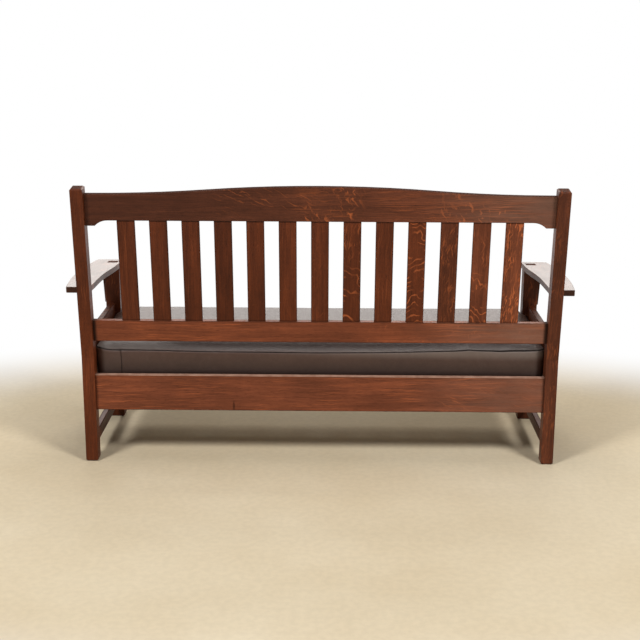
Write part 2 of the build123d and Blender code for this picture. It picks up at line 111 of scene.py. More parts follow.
class Tree:
    # a material, and short names for the nodes it needs
    def __init__(self, name):
        self.material = bpy.data.materials.new(name)
        self.material.use_nodes = True
        self.tree = self.material.node_tree
        self.tree.nodes.clear()
        self.output = self.add("OutputMaterial")
        self.shader = self.add("BsdfPrincipled")
        self.tree.links.new(self.shader.outputs[0], self.output.inputs["Surface"])

    def add(self, kind, inputs=(), **settings):
        return addNode(self.tree, "ShaderNode" + kind, inputs, **settings)

    def give(self, **values):
        # the shader's inputs, written without spaces
        names = {socket.name.replace(" ", ""): socket for socket in self.shader.inputs}
        for name, value in values.items():
            connect(self.tree, names[name], value)

    def source(self, output):
        return self.add("TexCoord").outputs[output]

    def place(self, centre, turn):
        # coordinates along the piece: x with the grain, y across the face, z through it
        inputs = {"Vector": self.source("Object"), "Location": centre, "Rotation": turn}
        return self.add("Mapping", inputs, vector_type="TEXTURE").outputs[0]

    def stretch(self, vector, scale, shift=(0, 0, 0), turn=0.0):
        inputs = {"Vector": vector, "Scale": scale, "Location": shift, "Rotation": (0, 0, turn)}
        return self.add("Mapping", inputs).outputs[0]

    def noise(self, vector, scale, shift=(0, 0, 0), detail=4.0, rough=0.55, distortion=0.0):
        inputs = {"Vector": self.stretch(vector, scale, shift), "Scale": 1.0}
        inputs |= {"Detail": detail, "Roughness": rough, "Distortion": distortion}
        return self.add("TexNoise", inputs).outputs["Fac"]

    def cellEdges(self, vector, scale):
        inputs = {"Vector": self.stretch(vector, scale), "Scale": 1.0}
        return self.add("TexVoronoi", inputs, feature="DISTANCE_TO_EDGE").outputs["Distance"]

    def ramp(self, value, stops):
        node = self.add("ValToRGB", {"Fac": value})
        band = node.color_ramp.elements
        while len(band) < len(stops):
            band.new(0.5)
        for element, (place, colour) in zip(band, stops):
            element.position = place
            element.color = (*colour, 1.0)
        return node.outputs["Color"]

    def math(self, kind, first, second=None):
        return self.add("Math", {0: first, 1: second}, operation=kind).outputs[0]

    def times(self, first, *others):
        for other in others:
            first = self.math("MULTIPLY", first, other)
        return first

    def flip(self, value):
        return self.math("SUBTRACT", 1.0, value)

    def length(self, vector):
        return self.add("VectorMath", {0: vector}, operation="LENGTH").outputs["Value"]

    def mix(self, amount, first, second, blend="MIX"):
        node = self.add("Mix", data_type="RGBA", blend_type=blend)
        connect(self.tree, node.inputs["Factor"], amount)
        colours = [socket for socket in node.inputs if socket.type == "RGBA"]
        for socket, value in zip(colours, (first, second)):
            connect(self.tree, socket, (*value, 1.0) if isinstance(value, tuple) else value)
        return [socket for socket in node.outputs if socket.type == "RGBA"][0]

    def scaled(self, colour, level, most=1.0):
        # the colour times a level, which stands for 0 to most
        return self.mix(1.0, colour, self.ramp(level, [(0.0, (0, 0, 0)), (1.0, (most,) * 3)]), "MULTIPLY")

    def ease(self, value, low, high, newLow=0.0, newHigh=1.0):
        inputs = {"Value": value, "From Min": low, "From Max": high, "To Min": newLow, "To Max": newHigh}
        return self.add("MapRange", inputs, interpolation_type="SMOOTHSTEP").outputs[0]

    def axis(self, vector, name):
        return self.add("SeparateXYZ", {0: vector}).outputs[name]

    def bump(self, height, strength, distance, normal=None):
        inputs = {"Height": height, "Strength": strength, "Distance": distance, "Normal": normal}
        return self.add("Bump", inputs).outputs[0]


# Stained oak: its colours and grain, and the kinds of ray fleck

stainedOak = {
    "deep": (0.050, 0.0125, 0.0046),
    "mid": (0.094, 0.0225, 0.0078),
    "light": (0.160, 0.0380, 0.0122),
    "stops": {"deep": 0.30, "mid": 0.52, "light": 0.74},
    "dust": (0.145, 0.105, 0.085),
    "dustLevel": 0.14,
    "fleck": (0.340, 0.0900, 0.0290),
    "pore": (0.022, 0.0070, 0.0030),
    # the dark of the painted shade along edges and at board ends; some upward faces take it too
    "edge": (0.030, 0.0090, 0.0040),
    # grey of old waxing and of a painted sheen
    "wax": (0.230, 0.1400, 0.1050),
    # colour of the painted highlight along a rail's upper edge
    "rubbed": (0.480, 0.2900, 0.2150),
    "specular": 0.12,
    "coatRoughness": 0.34,
    # how often a pattern repeats along, across and through the board
    "band": (2.2, 46, 46),
    "streak": (9, 620, 620),
    "pores": (42, 1500, 1500),
    "cloud": (5, 14, 14),
    # from, to, and what these two stand for
    "streakDark": (0.30, 0.68, 0.72, 1.0),
    "poreDark": (0.56, 0.66, 0.0, 0.75),
    "endDark": (0.75, 0.95, 0.0, 0.6),
    "roughness": (0.3, 0.7, 0.46, 0.35),
    "rubbedOff": (0.35, 0.65, 0.9, 0.5),
    "waxThick": (0.3, 0.7, 0.6, 1.2),
    "knot": (0.7, 1.7, 0.75, 0.0),
    "handled": (0.6, 0.95),
    "bandShare": 0.55,
    "edgeReach": (0.0040, 0.0004),
    "wornReach": (0.0026, 0.0008),
    "topReach": (0.45, 0.80),
    "endDull": 0.7,
    "edgeDull": 0.5,
    "topDull": 0.6,
    "fleckGloss": 0.05,
    "relief": (0.35, 0.0004),
}

rays = {
    # tilt from the grain, length, width, how far it wanders, cover, soft edge, patches per metre
    "slanting": (-0.42, 0.060, 0.0052, 0.012, 0.585, 0.09, 9.0),
    "blotches": (-1.20, 0.034, 0.0130, 0.016, 0.52, 0.16, 7.0),
    "upright": (0.14, 0.040, 0.0042, 0.008, 0.54, 0.09, 11.0),
    "lines": (0.02, 0.150, 0.0028, 0.0025, 0.52, 0.16, 4.0),
    "faint": (0.90, 0.024, 0.0040, 0.010, 0.60, 0.12, 8.0),
}

ripples = {
    # ribbons across the grain: tilt, pitch, how far they bend, width of a bend, thinness, patches per metre
    "chevrons": (0.25, 0.026, 0.022, 0.045, 0.55, 14.0),
    "waves": (-0.22, 0.022, 0.018, 0.036, 0.62, 17.0),
    "hooks": (0.65, 0.034, 0.034, 0.030, 0.72, 16.0),
}

figure = {
    "fade": 0.04,  # over this length a figure ends along the board
    "patch": (0.40, 0.58),
    "seedStep": 4.7,  # between two layers on one board
    "crisp": 3.2,
    "swell": 0.9,
}


def shade(colour, tone):
    return tuple(part * tone for part in colour)


def rayFlecks(tree, local, seed, tilt, length, width, wander, cover, edge):
    drift = tree.noise(local, (22, 22, 22), (seed * 1.7, seed, 3), detail=2.0)
    drift = tree.times(tree.math("SUBTRACT", drift, 0.5), wander * 4)
    lane = tree.add("VectorMath", {0: local, 1: drift}, operation="ADD")
    turned = tree.stretch(lane.outputs[0], (1, 1, 0.6), turn=tilt)
    size = (1 / length, 1 / width, 1 / length)
    fleck = tree.noise(turned, size, (seed, seed * 2.3, seed), detail=2.5, rough=0.5)
    return tree.ease(fleck, cover, cover + edge)


def ripple(tree, local, seed, tilt, pitch, bend, width, thin):
    wander = tree.noise(local, (9, 1 / width, 1 / width), (seed, seed * 2, 0), detail=1.5)
    slow = tree.noise(local, (16, 4, 4), (seed * 3, 0, seed), detail=1.0)
    swell = tree.noise(local, (40, 60, 60), (0, seed, seed), detail=1.0)
    along = tree.axis(tree.stretch(local, (1, 1, 1), turn=tilt), "X")
    bent = tree.math("ADD", along, tree.times(tree.math("SUBTRACT", wander, 0.5), bend * 4))
    bent = tree.math("ADD", bent, tree.times(slow, pitch * 3))
    wave = tree.math("SINE", tree.times(bent, 2 * math.pi / pitch))
    limit = tree.math("ADD", thin, tree.times(tree.math("SUBTRACT", swell, 0.5), figure["swell"]))
    return tree.times(tree.math("SUBTRACT", wave, limit), figure["crisp"])


def figureMask(tree, local, seed, kind, strength, where=None):
    *form, patches = rays.get(kind) or ripples[kind]
    make = rayFlecks if kind in rays else ripple
    mask = tree.ease(make(tree, local, seed, *form), 0.0, 1.0)
    patch = tree.noise(local, (patches,) * 3, (seed * 3.1, 0, seed), detail=1.0)
    mask = tree.times(mask, tree.ease(patch, *figure["patch"]))
    if where:
        low, high = where
        along, fade = tree.axis(local, "X"), figure["fade"]
        mask = tree.times(mask, tree.ease(along, low - fade, low + fade))
        mask = tree.times(mask, tree.ease(along, high - fade, high + fade, 1.0, 0.0))
    return tree.times(mask, strength)


def oakGrain(tree, local, tone, grey, seed):
    # the plain board, and the patterns that its gloss and relief also use
    finish = stainedOak
    shift = (seed, seed * 5, seed)
    band = tree.noise(local, finish["band"], shift, detail=5.0, rough=0.62, distortion=0.7)
    streak = tree.noise(local, finish["streak"], (seed * 2, seed, 0), detail=3.0, rough=0.6)
    pores = tree.noise(local, finish["pores"], (0, seed, seed), detail=2.0)
    cloud = tree.noise(local, finish["cloud"], (seed, 0, seed * 2), detail=3.0)
    stops = []
    for key, place in finish["stops"].items():
        colour = shade(finish[key], tone)
        level = sum(colour) / finish["dustLevel"]
        mixed = tuple(c * (1 - grey) + d * grey * level for c, d in zip(colour, finish["dust"]))
        stops.append((place, mixed))
    share = finish["bandShare"]
    colour = tree.ramp(tree.math("ADD", tree.times(band, share), tree.times(cloud, 1 - share)), stops)
    colour = tree.scaled(colour, tree.ease(streak, *finish["streakDark"]))
    pore = tree.ease(pores, *finish["poreDark"])
    return tree.mix(pore, colour, shade(finish["pore"], tone)), streak, pore, cloud


def greyedByWaxAndSheen(tree, local, colour, haze, seed):
    # greys one end of the board: partly old waxing, partly a painted sheen where the light glances off it
    clear, full, amount = haze
    grey = tree.ease(tree.axis(local, "X"), full, clear, 1.0, 0.0)
    thick = tree.noise(local, (7, 60, 60), (seed, 0, 0))
    thick = tree.ease(thick, *stainedOak["waxThick"])
    return tree.mix(tree.times(grey, thick, amount), colour, stainedOak["wax"])


def knotted(tree, local, colour, knot):
    inputs = {"Vector": local, "Location": knot["place"], "Scale": knot["size"]}
    spot = tree.add("Mapping", inputs, vector_type="TEXTURE").outputs[0]
    wobble = tree.noise(local, (160, 160, 160), detail=3.0)
    mask = tree.ease(tree.math("ADD", tree.length(spot), wobble), *stainedOak["knot"])
    return tree.mix(mask, colour, shade(stainedOak["pore"], 0.9))


def edgeShaded(tree, local, colour, board, half, seed):
    # painted shade: darker along the edges, where the eased edges catch less light; duller there too
    finish = stainedOak
    start, stop = finish["edgeReach"]
    near = []
    for axisName, size in zip("XYZ", half):
        reach = tree.math("ABSOLUTE", tree.axis(local, axisName))
        near.append(tree.ease(reach, size - start, size - stop))
    x, y, z = near
    edge = tree.math("MAXIMUM", tree.times(y, z), tree.times(x, z))
    edge = tree.math("MAXIMUM", tree.times(x, y), edge)
    rub = tree.noise(local, (30, 30, 30), (seed, seed, 0))
    rub = tree.ease(rub, *finish["rubbedOff"])
    colour = tree.mix(tree.times(edge, rub), colour, shade(finish["edge"], board["tone"]))
    if "wornTop" in board:
        # a painted highlight along the upper edge, where the top face catches the light
        start, stop = finish["wornReach"]
        upper = tree.ease(tree.axis(local, "Y"), half[1] - start, half[1] - stop, 0.0, board["wornTop"])
        colour = tree.mix(tree.times(upper, tree.math("ADD", rub, 0.1)), colour, finish["rubbed"])
    return colour, tree.math("MAXIMUM", edge, tree.times(y, board.get("dullSides", 0.0)))


def oak(name, node, board, seed, half):
    tree = Tree(name)
    finish, tone, turn = stainedOak, board["tone"], turns[board["turn"]]
    local, normal = tree.place(middle(node), turn), tree.source("Normal")
    colour, streak, pore, cloud = oakGrain(tree, local, tone, board.get("grey", 0.0), seed)
    ray = 0.0
    for number, layer in enumerate(board["figure"]):
        ray = tree.math("MAXIMUM", ray, figureMask(tree, local, seed + number * figure["seedStep"], *layer))
    colour = tree.mix(ray, colour, shade(finish["fleck"], tone))
    if "drift" in board:
        # the board runs from one tone at its low end to another at its high end: partly its own tone, partly
        # painted light that changes along it
        ends, lowTone, highTone = board["drift"]
        run = tree.ease(tree.axis(local, "X"), -ends, ends, lowTone / 2, highTone / 2)
        colour = tree.scaled(colour, run, 2)
    if "haze" in board:
        colour = greyedByWaxAndSheen(tree, local, colour, board["haze"], seed)
    if "corners" in board:
        # painted shade where the board meets its neighbours at its ends
        ends, reach, amount = board["corners"]
        cornerShadow = tree.ease(tree.math("ABSOLUTE", tree.axis(local, "X")), ends - reach, ends, 0.0, amount)
        colour = tree.mix(cornerShadow, colour, shade(finish["edge"], 0.5))
    if "knot" in board:
        colour = knotted(tree, local, colour, board["knot"])
    # end grain is darker, because it drinks the stain
    inputs = {0: normal, 1: turn.to_matrix() @ acrossX}
    facing = tree.add("VectorMath", inputs, operation="DOT_PRODUCT").outputs["Value"]
    end = tree.ease(tree.math("ABSOLUTE", facing), *finish["endDark"])
    colour = tree.mix(end, colour, shade(finish["pore"], 1.2))
    sheen = tree.ease(cloud, *finish["roughness"])
    sheen = tree.math("SUBTRACT", sheen, tree.times(ray, finish["fleckGloss"]))
    sheen = tree.math("ADD", sheen, tree.times(end, finish["endDull"]))
    if half:
        colour, dull = edgeShaded(tree, local, colour, board, half, seed)
        sheen = tree.math("ADD", sheen, tree.times(dull, finish["edgeDull"]))
    if "dullTop" in board:
        # darker and duller on the upward faces
        top = tree.ease(tree.axis(normal, "Z"), *finish["topReach"], 0.0, board["dullTop"])
        colour = tree.mix(top, colour, shade(finish["edge"], tone))
        sheen = tree.math("ADD", sheen, tree.times(top, finish["topDull"]))
    if "polish" in board:
        # hands have polished the upper face
        coat = tree.ease(tree.axis(normal, "Z"), *finish["handled"], 0.0, board["polish"])
        tree.give(CoatWeight=coat, CoatRoughness=finish["coatRoughness"])
    height = tree.math("SUBTRACT", tree.times(streak, 0.35), pore)
    tree.give(BaseColor=colour, Roughness=sheen, SpecularIORLevel=finish["specular"])
    tree.give(Normal=tree.bump(height, *finish["relief"]))
    return tree.material


def dress(node, material):
    piece = bpy.data.objects[node]
    piece.data.materials.clear()
    piece.data.materials.append(material)


def middle(node):
    low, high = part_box(node)
    return Vector([(a + b) / 2 for a, b in zip(low, high)])


def halfSize(node):
    low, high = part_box(node)
    return [(b - a) / 2 for a, b in zip(low, high)]


def turnOf(along, across):
    through = along.cross(across)
    return Matrix((along, across, through)).transposed().to_euler()


rake = math.radians(7.2)
upSlope = Vector((0.0, math.sin(rake), math.cos(rake)))
turns = {
    "upright": turnOf(upZ, acrossX),
    "slat": turnOf(upSlope, acrossX),
    "backRail": turnOf(acrossX, upSlope),
    "rail": turnOf(acrossX, upZ),
    "side": turnOf(alongY, upZ),
    "arm": turnOf(alongY, acrossX),
}


# Which piece is cut from which board. Each figure has a kind, a strength and, if it ends, a stretch.

slatBoards = {
    # numbered from the right of this view
    1: {
        "tone": 1.72, "grey": 0.08,
        "figure": [("upright", 0.62), ("lines", 0.45), ("upright", 0.58, (-0.30, 0.22))],
    },
    2: {
        "tone": 1.54, "grey": 0.06,
        "figure": [("upright", 0.35, (0.02, 0.30)), ("hooks", 0.55, (-0.30, 0.00))],
    },
    3: {
        "tone": 1.02, "grey": 0.05,
        "figure": [("upright", 0.42, (-0.26, 0.20)), ("lines", 0.3), ("upright", 0.50, (-0.26, 0.14))],
    },
    4: {"tone": 1.34, "figure": [("waves", 0.60, (-0.30, 0.24))]},
    5: {"tone": 1.14, "figure": [("lines", 0.20)]},
    6: {"tone": 1.08, "figure": [("chevrons", 0.85, (-0.30, 0.00)), ("upright", 0.35, (0.05, 0.30))]},
    7: {"tone": 1.14, "figure": [("faint", 0.15)]},
    8: {"tone": 1.16, "figure": [("lines", 0.20)]},
    9: {"tone": 1.06, "figure": [("faint", 0.25, (-0.15, 0.10))]},
    10: {"tone": 0.84, "figure": []},
    11: {"tone": 0.98, "figure": [("lines", 0.12)]},
    12: {"tone": 1.04, "figure": [("faint", 0.12)]},
    13: {"tone": 1.08, "figure": [("lines", 0.20)]},
}

slat = {
    "halfThick": 0.006,
    "tenon": 0.010,  # the length at each end that is hidden in a rail
    # how dark the painted shade is where a slat goes into a rail
    "cornerDark": 0.8,
    "seeds": (3.1, 2.7),
}

boards = {
    "crest_rail": {
        "turn": "backRail", "tone": 1.09, "grey": 0.10,
        "figure": [
            ("slanting", 0.48, (0.02, 0.35)), ("blotches", 0.80, (-0.14, 0.07)),
            ("lines", 0.35, (-0.75, 0.1)), ("hooks", 0.32, (-0.13, 0.03)), ("blotches", 0.68, (-0.70, -0.42)),
        ],
        "drift": (0.82, 1.24, 0.66), "haze": (-0.30, -0.74, 0.30), "corners": (0.8200, 0.006, 0.7),
        "dullTop": 0.9,
    },
    "lower_back_rail": {
        "turn": "backRail", "tone": 1.84, "grey": 0.06,
        "figure": [("lines", 0.22), ("faint", 0.3, (-0.8, -0.1))],
        "drift": (0.82, 1.22, 1.04), "haze": (-0.25, -0.76, 0.42), "corners": (0.8140, 0.013, 0.95),
        # its section, so that its edges take the painted edge shade
        "section": (0.0395, 0.0105),
    },
    "rear_seat_rail": {
        "turn": "rail", "tone": 1.80, "grey": 0.08,
        "figure": [("lines", 0.30), ("slanting", 0.25, (-0.80, -0.45))],
        "drift": (0.82, 1.10, 1.04), "haze": (-0.20, -0.80, 0.28), "corners": (0.8185, 0.005, 0.8),
        "wornTop": 0.85, "knot": {"place": (0.314, -0.050, 0.0), "size": (0.0055, 0.024, 0.05)},
    },
    "front_seat_rail": {
        "turn": "rail", "tone": 1.35, "grey": 0.05, "figure": [("slanting", 0.26), ("lines", 0.30)],
    },
    "rear_post_left": {
        "turn": "upright", "tone": 1.14, "grey": 0.08, "figure": [("upright", 0.3), ("lines", 0.2)],
        "drift": (0.50, 0.94, 0.82),
    },
    "rear_post_right": {
        "turn": "upright", "tone": 1.20, "figure": [("lines", 0.25)], "drift": (0.50, 1.02, 0.82),
    },
    "front_leg_left": {"turn": "upright", "tone": 0.95, "grey": 0.05, "figure": [("upright", 0.28)]},
    "front_leg_right": {"turn": "upright", "tone": 0.95, "figure": [("upright", 0.28)]},
}
twins = {
    # left and right are alike
    "side_rail": {"turn": "side", "tone": 1.10, "figure": [("slanting", 0.5)]},
    "side_stretcher": {"turn": "side", "tone": 1.05, "figure": [("faint", 0.3)]},
    "arm": {"turn": "arm", "tone": 1.15, "grey": 0.40, "figure": [("slanting", 0.6)], "polish": 0.8},
    "corbel": {"turn": "upright", "tone": 1.05, "figure": [("faint", 0.4)]},
}
for name, board in twins.items():
    boards |= {name + "_left": board, name + "_right": board}
boardSeeds = (41.3, 3.3)


def boardHalf(node, board):
    # half length, half width and half thickness of a plain board, which its painted edge shade follows
    x, y, z = halfSize(node)
    if board["turn"] == "rail":
        return x, z, y
    if board["turn"] == "side":
        return y, z, x
    if "section" in board:
        return x, *board["section"]
    return None


def finishOak():
    first, step = slat["seeds"]
    for number, board in slatBoards.items():
        node = f"back_slat_{number:02d}"
        x, y, z = halfSize(node)
        half = (z / math.cos(rake), x, slat["halfThick"])
        # the ends hidden in the rails take a painted shade
        corners = (half[0] - slat["tenon"], slat["tenon"], slat["cornerDark"])
        board = {**board, "turn": "slat", "corners": corners, "dullSides": 1.0}
        dress(node, oak(f"oakSlat{number:02d}", node, board, first + (number - 1) * step, half))
    first, step = boardSeeds
    for count, (node, board) in enumerate(boards.items()):
        dress(node, oak("oak_" + node, node, board, first + count * step, boardHalf(node, board)))


# Unstained oak under the cushion, and the screws

plainOak = {
    "deep": (0.30, 0.19, 0.10),
    "mid": (0.42, 0.28, 0.16),
    "light": (0.52, 0.37, 0.23),
    "pore": (0.16, 0.10, 0.055),
    "band": (1.8, 48, 48),
    "streak": (10, 560, 560),
    "pores": (40, 1400, 1400),
    "streakDark": (0.3, 0.66, 0.82, 1.0),
    "poreDark": (0.57, 0.66, 0.0, 0.5),
    "roughness": (0.3, 0.7, 0.72, 0.58),
    "specular": 0.3,
    "relief": (0.3, 0.0004),
}
deck = {
    "slats": 11,
    "slatSeeds": (5.3, 2.9),
    "cleatSeeds": {"rear_deck_cleat": 61.0, "front_deck_cleat": 67.0},
    "dowelSeed": 71.0,
}
steel = {"colour": (0.55, 0.54, 0.52), "dull": 0.62, "roughness": (0.3, 0.7, 0.48, 0.34)}


def rawOak(name, node, turn, seed):
    tree = Tree(name)
    finish = plainOak
    local = tree.place(middle(node), turns[turn])
    band = tree.noise(local, finish["band"], (seed, seed * 3, seed), detail=3.0, distortion=0.5)
    streak = tree.noise(local, finish["streak"], (seed, seed, 0), detail=3.0)
    pores = tree.noise(local, finish["pores"], (0, seed, seed), detail=2.0)
    colour = tree.ramp(band, [(0.3, finish["deep"]), (0.5, finish["mid"]), (0.72, finish["light"])])
    colour = tree.scaled(colour, tree.ease(streak, *finish["streakDark"]))
    pore = tree.ease(pores, *finish["poreDark"])
    tree.give(
        BaseColor=tree.mix(pore, colour, finish["pore"]),
        Roughness=tree.ease(streak, *finish["roughness"]),
        SpecularIORLevel=finish["specular"],
        Normal=tree.bump(tree.math("SUBTRACT", streak, pore), *finish["relief"]),
    )
    return tree.material


def screwSteel():
    tree = Tree("screwSteel")
    where = tree.source("Object")
    smear = tree.noise(where, (90, 90, 90))
    ring = tree.noise(where, (1400, 1400, 300), detail=2.0)
    tree.give(
        BaseColor=tree.ramp(smear, [(0.3, shade(steel["colour"], steel["dull"])), (0.7, steel["colour"])]),
        Metallic=1.0,
        Roughness=tree.ease(smear, *steel["roughness"]),
        Normal=tree.bump(ring, 0.15, 0.0002),
    )
    return tree.material


def finishHidden():
    first, step = deck["slatSeeds"]
    for number in range(1, deck["slats"] + 1):
        node = f"deck_slat_{number:02d}"
        dress(node, rawOak(f"rawOak{number:02d}", node, "arm", first + number * step))
    for node, seed in deck["cleatSeeds"].items():
        dress(node, rawOak("rawOak_" + node, node, "rail", seed))
    dress("arm_dowels", rawOak("rawOakDowels", "arm_dowels", "upright", deck["dowelSeed"]))
    metal = screwSteel()
    for node in ("deck_screws", "cleat_screws"):
        dress(node, metal)


# Seat cushion: a boxed leather cushion, blown up a little by a cloth simulation

cushion = {
    "half": 0.8262,
    "front": -0.5455,  # along the seat, from the inner face of the rear rail
    "rear": -0.0085,
    "notch": -0.4725,  # the front corners step in behind the legs
    "notchHalf": 0.8030,
    "rearRadius": 0.0345,
    "frontRadius": 0.020,
    "notchRadius": 0.006,
    "stepRadius": 0.010,
    "cornerSteps": 8,
    "boxing": 0.1005,
    "tuckedUnder": 0.002,
    "crown": 0.0225,
    "crownRun": 0.040,  # the crown rises within about this much of the seam
    "drawIn": 0.0045,
    "pitch": math.radians(3.1),
    "origin": (0.0, 0.22309, 0.3135),
    "cell": 0.0088,
    "seamX": 0.729,  # the one join in the boxing that the rear shows
    "seamRow": 0.0040,
    "secondRow": 2.4,  # from the seam, in seam rows
    "nip": 0.0030,
    "nipX": -0.545,
    "nipWide": 0.014,
    "drapeRun": 0.16,  # how far forward the hang of the rear seam reaches
    "rearRoom": 0.0035,
    "frontRoom": 0.0008,
}

rearDrape = [
    # how the rear seam hangs: x, height off its level
    (-0.83, 0.0125), (-0.76, 0.0090), (-0.66, 0.0050), (-0.545, 0.0045), (-0.40, -0.0020), (-0.20, -0.0085),
    (0.0, -0.0115), (0.40, -0.0085), (0.70, -0.0010), (0.77, 0.0010), (0.83, 0.0125),
]


def seatPoint(x, along, up):
    pitch, origin = cushion["pitch"], cushion["origin"]
    return Vector((
        x,
        origin[1] + along * math.cos(pitch) + up * math.sin(pitch),
        origin[2] - along * math.sin(pitch) + up * math.cos(pitch),
    ))


def seatLocal(point):
    pitch, origin = cushion["pitch"], cushion["origin"]
    y, z = point.y - origin[1], point.z - origin[2]
    return point.x, y * math.cos(pitch) - z * math.sin(pitch), y * math.sin(pitch) + z * math.cos(pitch)


def cushionOutline():
    c = cushion
    inner, outer, front, step, rear = c["notchHalf"], c["half"], c["front"], c["notch"], c["rear"]
    small, wide, big, count = c["notchRadius"], c["stepRadius"], c["rearRadius"], c["cornerSteps"]
    corners = [
        (-inner, front, c["frontRadius"]), (inner, front, c["frontRadius"]),
        (inner, step, small), (outer, step, wide), (outer, rear, big),
        (-outer, rear, big), (-outer, step, wide), (-inner, step, small),
    ]
    points, marks = [], []
    for number, (x, y, radius) in enumerate(corners):
        here = Vector((x, y))
        before = Vector(corners[number - 1][:2])
        after = Vector(corners[(number + 1) % len(corners)][:2])
        inward, outward = (here - before).normalized(), (after - here).normalized()
        centre = here - inward * radius + outward * radius
        for part in range(count + 1):
            angle = math.pi / 2 * part / count
            if part == count // 2 and number in (0, 1, 4, 5):
                marks.append(len(points))
            points.append(centre - outward * radius * math.cos(angle) + inward * radius * math.sin(angle))
    return points, marks


def spread(points, shares):
    # places along a polyline at shares of its length
    lengths = [0.0]
    for first, second in zip(points, points[1:]):
        lengths.append(lengths[-1] + (second - first).length)
    result, leg = [], 0
    for share in shares:
        target = lengths[-1] * share
        while leg < len(points) - 2 and lengths[leg + 1] < target:
            leg += 1
        span = lengths[leg + 1] - lengths[leg]
        part = (target - lengths[leg]) / span if span else 0.0
        result.append(points[leg].lerp(points[leg + 1], min(1.0, part)))
    return result


def steps(length, extra=()):
    # even cells, with two narrow rows beside each seam
    narrow = cushion["seamRow"]
    edge = narrow * cushion["secondRow"]
    count = round((length - edge * 2) / cushion["cell"])
    places = [0.0, narrow, edge]
    places += [edge + (length - edge * 2) * n / count for n in range(1, count)]
    places += [length - edge, length - narrow, length]
    for place in extra:
        places = [p for p in places if abs(p - place) > narrow * 1.8]
        places += [place - narrow, place, place + narrow]
    return [p / length for p in sorted(places)]


def drawnIn(point):
    # the sides pull in between the corners
    c = cushion
    x, y = point
    middleY = (c["front"] + c["rear"]) / 2
    deep = (c["rear"] - c["front"]) / 2
    bow = c["drawIn"] * (1 - (x / c["half"]) ** 2)
    y -= bow * max(-1.0, min(1.0, (y - middleY) / deep * 1.4))
    x -= c["drawIn"] / 2 * (1 - ((y - middleY) / deep) ** 2) * x / c["half"]
    return Vector((x, y))


def drapeAt(x):
    for (low, first), (high, second) in zip(rearDrape, rearDrape[1:]):
        if x <= high:
            share = max(0.0, (x - low) / (high - low))
            return first + (second - first) * share
    return rearDrape[-1][1]


def boxingAt(x, y):
    # the rear seam hangs in the middle, climbs at the ends and is nipped up at one place
    c = cushion
    behind = max(0.0, 1 - (c["rear"] - y) / c["drapeRun"])
    nip = c["nip"] * math.exp(-((x - c["nipX"]) / c["nipWide"]) ** 2)
    return c["boxing"] + (drapeAt(x) + nip) * behind


def crownAt(x, y):
    c = cushion
    run = c["crownRun"]
    side = 1 - math.exp(-max(0.0, c["half"] - abs(x)) / run)
    edge = 1 - math.exp(-max(0.0, min(y - c["front"], c["rear"] - y)) / run)
    return side * edge


def cushionPanels(mesh, across, depth):
    # the bottom and the top: rows of vertices between the four sides of the outline
    c = cushion
    points, marks = cushionOutline()
    ring = points + points
    frontSide = spread(ring[marks[0]:marks[1] + 1], across)
    rightSide = spread(ring[marks[1]:marks[2] + 1], depth)
    rearSide = spread(ring[marks[2]:marks[3] + 1][::-1], across)
    leftSide = spread(ring[marks[3]:marks[0] + len(points) + 1][::-1], depth)
    levels = []
    for upper in (False, True):
        rows = []
        for j, t in enumerate(depth):
            row = []
            for i, s in enumerate(across):
                place = (
                    frontSide[i] * (1 - t) + rearSide[i] * t + leftSide[j] * (1 - s) + rightSide[j] * s
                    - frontSide[0] * (1 - s) * (1 - t) - frontSide[-1] * s * (1 - t)
                    - rearSide[0] * (1 - s) * t - rearSide[-1] * s * t
                )
                place = drawnIn(place)
                up = boxingAt(*place) + c["crown"] * crownAt(*place) if upper else 0.0
                inset = 0.0 if upper else c["tuckedUnder"]
                row.append(mesh.verts.new(seatPoint(place.x * (1 - inset / c["half"]), place.y, up)))
            rows.append(row)
        levels.append(rows)
        for lower, higher in zip(rows, rows[1:]):
            for i in range(len(across) - 1):
                face = [lower[i], lower[i + 1], higher[i + 1], higher[i]]
                mesh.faces.new(face if upper else face[::-1])
    return levels


def rim(rows):
    return rows[0][:-1] + [row[-1] for row in rows[:-1]] + rows[-1][:0:-1] + [row[0] for row in rows[:0:-1]]


def cushionCage():
    c = cushion
    mesh = bmesh.new()
    across = steps(2 * c["half"], (c["half"] + c["seamX"],))
    depth = steps(c["rear"] - c["front"])
    lowRim, highRim = (rim(rows) for rows in cushionPanels(mesh, across, depth))
    loops = [lowRim]
    for share in steps(c["boxing"])[1:-1]:
        loops.append([mesh.verts.new(a.co.lerp(b.co, share)) for a, b in zip(lowRim, highRim)])
    loops.append(highRim)
    count = len(lowRim)
    for lower, higher in zip(loops, loops[1:]):
        for i in range(count):
            j = (i + 1) % count
            mesh.faces.new((lower[i], lower[j], higher[j], higher[i]))
    # seams: both rims, and one join up the rear boxing
    rear = [i for i in range(count) if seatLocal(highRim[i].co)[1] > c["rear"] - 0.012]
    column = min(rear, key=lambda i: abs(highRim[i].co.x - c["seamX"]))
    seams = {vertex: "top" for vertex in highRim}
    seams.update({vertex: "bottom" for vertex in lowRim})
    seams.update({loop[column]: "join" for loop in loops[1:-1]})
    mesh.verts.index_update()
    flags = {vertex.index: kind for vertex, kind in seams.items()}
    paths = [[vertex.index for vertex in edge] for edge in (highRim, lowRim)]
    data = bpy.data.meshes.new("seatCushion")
    mesh.normal_update()
    mesh.to_mesh(data)
    mesh.free()
    return addObject("seatCushion", data), flags, paths


filling = {
    "frames": 20,
    "held": 0.85,  # the filling holds the leather out
    "cap": 0.0075,
    "cloth": {
        "quality": 5,
        "mass": 0.35,
        "tension_stiffness": 20,
        "compression_stiffness": 20,
        "shear_stiffness": 8,
        "bending_stiffness": 1.2,
        "use_pressure": True,
        "uniform_pressure_force": 4.0,
        "vertex_group_shrink": "tight",
        "shrink_min": -0.008,
        "shrink_max": 0.001,
    },
}


